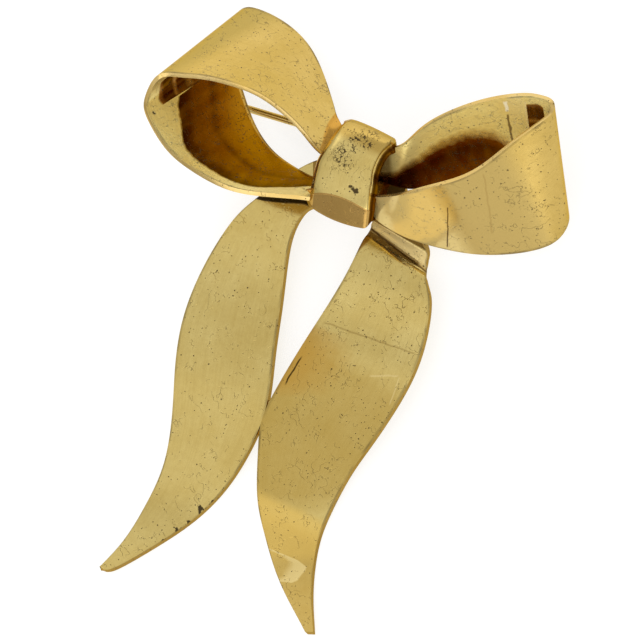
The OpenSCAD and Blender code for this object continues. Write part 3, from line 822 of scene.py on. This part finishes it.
def right_tail_plate(g):
    """The same, browner below its bend, with painted shade in its joggle, a painted lit band
    above it, painted shade along its turned edge, a painted highlight near its tip, a gouge,
    a faint crease and two pale scuffs."""
    gold_plate("buffed_gold_plate_right_tail", pair(g, "plate"), 0.28, 0.6, BUFFED, films=[
        Film(TAIL_TOP, even("5E4010", 0.8), metal=0.5),
        # A painted lit band above the joggle
        Film(band(2.4, 4.3, 0.3), even("FFE6A0", 1, 0.7), metal=0.2),
        Film(band(11.2, 12.9, 2.2), even("AA862C", 0.46, 0.9), 0.2),
        Film(band(15.2, 25, 1.5), even("D2A644", 0.4, 0.9), 0.2),
        Film(GILT_BROWN, even("C09038", 0.62, 0.45), 0.2),
        Film(band(14.6, 14.9, 1.1), even("EEC868", 0.6, 0.9), 0.2),
        Film(FLASH_HIGHLIGHT, FLASH_HIGHLIGHT_TONES, metal=0.8),
        Film(TURNED_EDGE_SHADE, even("94661A", 0.9, 0.03), metal=0.9),
        # Painted shade in the joggle: a faint band and a dark line across it
        Film(band(4.3, 4.75, 0.4), even("7A541A", 0.5, 0.9), 0.15, metal=0.7)], marks=[
        Mark([4.2, 1.0], [4.85, 0.0], 0.9, "4A2C08", 0.8),
        Mark([10.25, 0.95], [11.0, 0.95], 0.2, "2A1A08", 0.9),
        Mark([9.35, 0.94], [9.45, 0.04], 0.14, "8A6A30", 0.4),
        Mark([10.25, 0.34], [10.05, 0.1], 0.14, "E8D090", 0.5),
        Mark([10.05, 0.1], [10.75, 0.05], 0.14, "E8D090", 0.5)])


# The knot's right side, painted as a dark reflection, and its tones from the face's edge backwards
KNOT_SIDE_SHADE = [[0, 0.952], [10, 0.952], [25, 0.952]]
SIDE_SHADE_TONES = [[0.0, "8A5A10", 0], [0.004, "5A3204", 0.9], [0.02, "3A1C02", 1],
              [0.04, "7A4E10", 1], [0.045, "5A3204", 1], [1, "5A3204", 1]]


def knot_plate(g):
    """The same plate, deeply pitted on top and darkened there with painted shade, its foot in
    shade, its sides brown with a painted dark reflection and three dents by its right corner."""
    gold_plate("pitted_gold_plate_knot", pair(g, "plate"), 0.3, 0.5, BUFFED, films=[
        # Painted shade over the top of the knot
        Film(band(2.0, 5.5, 1.9), even("A8863A", 0.7, 0.9), 0.2),
        Film(band(15.9, 19.95), even("AE8444", 0.8), metal=0.9),
        Film(KNOT_SIDE_SHADE, SIDE_SHADE_TONES, metal=1)],
        crowds=[((-0.4, 1.6, 14.4), 2.6), ((0.2, 3.6, 14.4), 2.6), ((1.6, 4.8, 14.4), 2.2)],
        dents=[((1.8, -2.1, 14.35), 0.46), ((2.3, -2.3, 14.35), 0.5),
               ((2.8, -2.5, 14.35), 0.58)], edge_dirt_and_shade=0)


def loop_edges(g):
    """The sheet's cut edges, rubbed smooth by wear: brass in a paler, duller line."""
    gold_plate("rubbed_gold_plate_loop_edges", pair(g, "edge"), 0.2, 0.2, DULL, 0.9,
               edge_dirt_and_shade=0)


def tail_edges(g):
    """The tails' cut edges, browner, as they lie lower and less rubbed."""
    gold_plate("rubbed_gold_plate_tail_edges", pair(g, "tail_edge"), 0.2, 0.2, DULL, 0.9,
               edge_dirt_and_shade=0)


def pin_plate(g):
    """Plated steel of the pin, drawn and left unbuffed: a softer, satin shine."""
    gold_plate("satin_gold_plate_pin", pair(g, "pin"), 0.2, 0.2, SATIN, 1, edge_dirt_and_shade=0)


class BROOCH_OT_finishes(bpy.types.Operator):
    """Make the brooch's finishes"""
    bl_idname = "brooch.finishes"
    bl_label = "Finishes"

    def execute(self, context):
        for finish in (left_loop_outside, right_loop_outside, left_tail_plate,
                       right_tail_plate, knot_plate, loop_edges, tail_edges, pin_plate,
                       left_loop_inside, right_loop_inside):
            finish(context.scene.brooch_finishes)
        return {"FINISHED"}


class BROOCH_OT_loops(bpy.types.Operator):
    """Make the two loops of bent sheet"""
    bl_idname = "brooch.loops"
    bl_label = "Loops"

    def execute(self, context):
        size = context.scene.brooch_loops
        strip(loop_rows(-1, size.left_reach, LEFT_LOOP, LEFT_UPPER, LEFT_LOWER), size.sheet)
        finished("left_loop_sheet", "bow", "gold_plate",
                 ["buffed_gold_plate_left_loop", "tarnished_gold_plate_left_loop",
                  "rubbed_gold_plate_loop_edges"], "left_loop")
        strip(loop_rows(1, size.right_reach, RIGHT_LOOP, RIGHT_UPPER, RIGHT_LOWER), size.sheet)
        finished("right_loop_sheet", "bow", "gold_plate",
                 ["tarnished_gold_plate_right_loop", "buffed_gold_plate_right_loop",
                  "rubbed_gold_plate_loop_edges"], "right_loop")
        return {"FINISHED"}


class BROOCH_OT_tails(bpy.types.Operator):
    """Make the two curved tails and the solder that joins them"""
    bl_idname = "brooch.tails"
    bl_label = "Tails"

    def execute(self, context):
        size = context.scene.brooch_tails
        wide, high = context.scene.brooch_knot.width, context.scene.brooch_knot.height

        # Tops of the tails behind the knot, in shares of its width and height
        left_top = [[(-SHEET_END, 0.24 * high), (-SHEET_END, -0.34 * high)],
                    [(-0.5 * wide, 0.21 * high), (-0.5 * wide, -0.35 * high)]]
        right_top = [[(0.6 * wide, 0.10 * high), (SHEET_END, 0.10 * high)],
                     [(0.85 * wide, -0.18 * high), (0.09 * wide, -0.18 * high)]]
        for side, name, spread, table, top in (
                (-1, "left_tail", size.left_spread, LEFT_TAIL, left_top),
                (1, "right_tail", size.right_spread, RIGHT_TAIL, right_top)):
            strip(tail_rows(side, spread, table, top), size.sheet)
            plate = "buffed_gold_plate_" + name
            finished(name + "_blade", "bow", "gold_plate",
                     [plate, plate, "rubbed_gold_plate_tail_edges"], "tails")

        # The solder bead behind the seam: a drawn-out drop with a lumpy skin
        start_fresh()
        low = size.sheet / 2
        top, foot = [MIDDLE + Vector((-size.seam, -down * size.drop, lift * (TAIL_TOP_Z - low)))
                     for down, lift in (SEAM_TOP, SEAM_FOOT)]
        bpy.ops.mesh.primitive_ico_sphere_add(
            subdivisions=4, radius=1, location=(top + foot) / 2,
            rotation=(top - foot).to_track_quat("Y", "Z").to_euler(),
            scale=(BEAD_HALF_WIDTH, (top - foot).length / 2, BEAD_HALF_THICKNESS))
        bpy.ops.object.transform_apply(location=True, rotation=True, scale=True)
        bpy.ops.object.mode_set(mode="EDIT")
        bpy.ops.mesh.select_all(action="SELECT")
        bpy.ops.transform.vertex_random(offset=BEAD_LUMPS, normal=1, seed=4)
        bpy.ops.object.mode_set(mode="OBJECT")
        modify("SMOOTH", factor=0.5, iterations=4)
        bpy.ops.object.shade_smooth()
        finished("seam_solder", "bow", "gold_plate", ["satin_gold_plate_pin"], "tails")
        return {"FINISHED"}


def knot_point(g, x, up, forward, raised):
    """Point of the knot's outline, raised by some mm away from the knot's core."""
    place = Vector((x, up * g.height / 2, KNOT_BACK_Z + forward * g.depth))
    core = Vector((x, max(CORE_LOW, min(CORE_HIGH, up)) * g.height / 2,
                   KNOT_BACK_Z + 0.5 * g.depth))
    return MIDDLE + (place + (place - core).normalized() * raised * MM)


def line_out(g, up, share, beyond):
    """Distance out of a line of vertices at a height of the face."""
    left, right = [at([[row[0], row[edge]] for row in FACE], up) for edge in (1, 2)]
    if beyond is None:
        return (left + right) / 2 * g.width / 2
    if share < 0.5:
        return left * g.width / 2 - beyond * MM
    return right * g.width / 2 + beyond * MM


def band_row(g, up, forward):
    """Row of vertices across the band, which is narrower and plainer at its back."""
    half = g.width / 2
    face = min(1, max(0, (forward - FACE_FROM) / (FACE_TO - FACE_FROM)))
    width = BACK_WIDTH + (1 - BACK_WIDTH) * min(1, forward / FULL_WIDTH_FROM)
    row = []
    for share, beyond, raised in KNOT_LINES:
        slant = TOP_SLANT * max(0, (up - SLANT_FROM) / (1 - SLANT_FROM))
        high = up - slant * line_out(g, up, share, beyond) / half
        x = line_out(g, high, share, beyond)
        if up < FOOT_FROM:
            high = up * at(FOOT, x / half) / FOOT_MIDDLE
        x = x * face + (2 * share - 1) * half * width * (1 - face)
        row.append(knot_point(g, x, high, forward, raised * max(LEAST_RELIEF, face)))
    return row


def foot_row(g, place, rise):
    """Row of vertices on the foot, at a place between its edge and the arch, or on the
    face, where it has risen from the arch by a share of the way to the face's middle."""
    face_up, face_forward = KNOT[0]
    row = []
    for share, beyond, raised in KNOT_LINES:
        x = line_out(g, FOOT_LEAVES, share, beyond) / (g.width / 2)
        low, high = at(FOOT, x), at(ARCH, x)
        if rise:
            up = high + (face_up - high) * rise
            forward = (ARCH_FORWARD + (face_forward - ARCH_FORWARD) * rise ** FACE_RISE
                       + FACE_LEAN * (high - ARCH_UP) * (1 - rise))
        else:
            up = low + (high - low) * place
            forward = ARCH_FORWARD + (up - ARCH_UP) * FOOT_SLANT + (LIP if place == 1 else 0)
            raised *= FOOT_RELIEF
        x = line_out(g, max(-1, up), share, beyond)
        row.append(knot_point(g, x, up, forward, raised))
    return row


class BROOCH_OT_knot(bpy.types.Operator):
    """Make the knot's wrapped band, with its slanted foot"""
    bl_idname = "brooch.knot"
    bl_label = "Knot"

    def execute(self, context):
        g = context.scene.brooch_knot
        rows = [band_row(g, up, forward) for up, forward in KNOT]
        rows += [foot_row(g, place, 0) for place in FOOT_ROWS]
        rows += [foot_row(g, 1, rise) for rise in FACE_ROWS]
        control = control_rows(rows, closed=True)
        cage(control + [control[0]], [line[0] for line in KNOT_LINES])
        modify("WELD", merge_threshold=CLOSED)
        modify("SUBSURF", levels=LEVELS, render_levels=LEVELS)
        modify("SOLIDIFY", thickness=g.sheet, offset=-1)
        modify("BEVEL", width=KNOT_BEVEL, segments=3, limit_method="ANGLE", angle_limit=SHARP)
        bpy.ops.object.shade_smooth()
        finished("knot_band", "bow", "gold_plate", ["pitted_gold_plate_knot"], "knot")
        return {"FINISHED"}


class BROOCH_OT_pin(bpy.types.Operator):
    """Wear the edges of the pin's fittings and give all of the pin its finish"""
    bl_idname = "brooch.pin"
    bl_label = "Pin"

    def execute(self, context):
        for name, bevel in FITTING_BEVELS.items():
            start_fresh()
            piece = bpy.data.objects.new(name + "_worn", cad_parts[name].data.copy())
            context.scene.collection.objects.link(piece)
            context.view_layer.objects.active = piece
            piece.select_set(True)
            modify("WELD", merge_threshold=LOOSE)
            modify("BEVEL", width=bevel, segments=2, limit_method="ANGLE",
                   angle_limit=FITTING_SHARP)
            bpy.ops.object.shade_smooth_by_angle(angle=FITTING_SHARP)
            finished(name + "_worn", "bow", "pin_metal", ["satin_gold_plate_pin"], name)
        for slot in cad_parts["pin_stem"].material_slots:
            slot.material = bpy.data.materials["satin_gold_plate_pin"]
        return {"FINISHED"}


# Size in metres of the floor, whose edges the camera never sees
FLOOR = 20

# The studio round the brooch: light from below to above, with dimmer drapes in it, and
# how much it leans towards the top of the brooch
SKY_STOPS = [(0.0, 0.60), (0.42, 0.62), (0.62, 0.80), (1.0, 0.90)]
SKY_LEAN, DRAPES_SCALE, DRAPES_LOW, DRAPES_HIGH = 0.18, 3.5, 0.86, 1.06

# Ways from the brooch to the two soft lamps, and how large they are in metres
UPPER_WAY, LOWER_WAY, LAMP_SIZE = (-0.5, 0.85, 0.3), (0.3, -0.8, 0.5), 1.3

# The camera's view from the front, a little from the right and from below: its three
# ways, the middle and width of what it sees, and its long lens in mm
VIEW_RIGHT = Vector((0.8535, 0.3401, -0.3948))
VIEW_UP = Vector((-0.2601, 0.9345, 0.2428))
VIEW_TOWARDS = Vector((0.4515, -0.1045, 0.8860))
VIEW_MIDDLE = Vector((3.098, 0.638, 10.341)) * MM
VIEW_WIDTH = 88.77 * MM
LENS, SENSOR = 1500, 36


def make_floor(g):
    """White paper that glows a little, so that it stays white beside the brooch."""
    start_fresh()
    bpy.ops.mesh.primitive_plane_add(size=FLOOR)
    floor = bpy.context.object
    floor.name = "floor"
    paper = bpy.data.materials.new("pale_paper")
    paper.use_nodes = True
    shader = paper.node_tree.nodes["Principled BSDF"].inputs
    shader["Base Color"].default_value = list(g.floor)
    shader["Roughness"].default_value = 1
    shader["Emission Color"].default_value = linear("FFFFFF")
    shader["Emission Strength"].default_value = g.glow
    floor.data.materials.append(paper)


def make_sky():
    """Soft studio light from all sides, which the gold plate mirrors."""
    world = bpy.data.worlds.new("soft_studio")
    world.use_nodes = True
    tree = world.node_tree
    add = partial(node, tree)
    way = add("TexCoord").outputs["Generated"]
    parts = add("SeparateXYZ", [way]).outputs
    height = add("Math", [parts["Y"], SKY_LEAN, parts["Z"]], "MULTIPLY_ADD")
    ramp = add("ValToRGB", [height])
    fill(ramp, [(share, (light, light, light, 1)) for share, light in SKY_STOPS])
    drapes = add("TexNoise", {"Vector": way, "Scale": DRAPES_SCALE, "Detail": 1})
    drapes = add("MapRange", [drapes, 0.35, 0.65, DRAPES_LOW, DRAPES_HIGH])
    tree.links.new(ramp.outputs["Color"], tree.nodes["Background"].inputs["Color"])
    tree.links.new(drapes.outputs[0], tree.nodes["Background"].inputs["Strength"])
    bpy.context.scene.world = world


def make_lamps(g):
    """Two large soft lamps that reach into the loops, one from above and one from below."""
    for name, way, watts in (("upper_softbox", UPPER_WAY, g.upper),
                             ("lower_softbox", LOWER_WAY, g.lower)):
        start_fresh()
        way = Vector(way).normalized()
        bpy.ops.object.light_add(
            type="AREA", location=way, rotation=way.to_track_quat("Z", "Y").to_euler())
        lamp = bpy.context.object
        lamp.name = name
        lamp.data.size, lamp.data.energy = LAMP_SIZE, watts


def make_camera(scene):
    """Camera with a long lens, which hardly shows perspective."""
    data = bpy.data.cameras.new("camera")
    data.lens, data.sensor_width = LENS, SENSOR
    camera = bpy.data.objects.new("camera", data)
    turn = Matrix((VIEW_RIGHT, VIEW_UP, VIEW_TOWARDS)).transposed().to_4x4()
    place = VIEW_MIDDLE + VIEW_TOWARDS * VIEW_WIDTH * LENS / SENSOR
    camera.matrix_world = Matrix.Translation(place) @ turn
    scene.collection.objects.link(camera)
    scene.camera = camera


class BROOCH_OT_stage(bpy.types.Operator):
    """Make the floor, the lights and the camera"""
    bl_idname = "brooch.stage"
    bl_label = "Stage"

    def execute(self, context):
        make_floor(context.scene.brooch_stage)
        make_sky()
        make_lamps(context.scene.brooch_stage)
        make_camera(context.scene)
        context.scene.view_settings.view_transform = "Standard"
        return {"FINISHED"}


class BROOCH_PT_panel(bpy.types.Panel):
    """Sizes and steps of the bow brooch"""
    bl_idname = "BROOCH_PT_panel"
    bl_label = "Bow Brooch"
    bl_space_type = "VIEW_3D"
    bl_region_type = "UI"
    bl_category = "Bow Brooch"

    def draw(self, context):
        for group in GROUPS:
            sizes = getattr(context.scene, group)
            for name in sizes.__annotations__:
                self.layout.prop(sizes, name)
        for step in STEPS:
            self.layout.operator(step.bl_idname)


GROUPS = {"brooch_finishes": BroochFinishes, "brooch_loops": BroochLoops,
          "brooch_tails": BroochTails, "brooch_knot": BroochKnot, "brooch_stage": BroochStage}
STEPS = [BROOCH_OT_finishes, BROOCH_OT_loops, BROOCH_OT_tails, BROOCH_OT_knot, BROOCH_OT_pin,
         BROOCH_OT_stage]


def register():
    for name, group in GROUPS.items():
        bpy.utils.register_class(group)
        setattr(bpy.types.Scene, name, bpy.props.PointerProperty(type=group))
    for made in STEPS + [BROOCH_PT_panel]:
        bpy.utils.register_class(made)


def unregister():
    for made in reversed(STEPS + [BROOCH_PT_panel]):
        bpy.utils.unregister_class(made)
    for name, group in GROUPS.items():
        delattr(bpy.types.Scene, name)
        bpy.utils.unregister_class(group)


def main():
    register()
    bpy.ops.brooch.finishes()
    bpy.ops.brooch.loops()
    bpy.ops.brooch.tails()
    bpy.ops.brooch.knot()
    bpy.ops.brooch.pin()
    bpy.ops.brooch.stage()


if __name__ == "__main__":
    main()
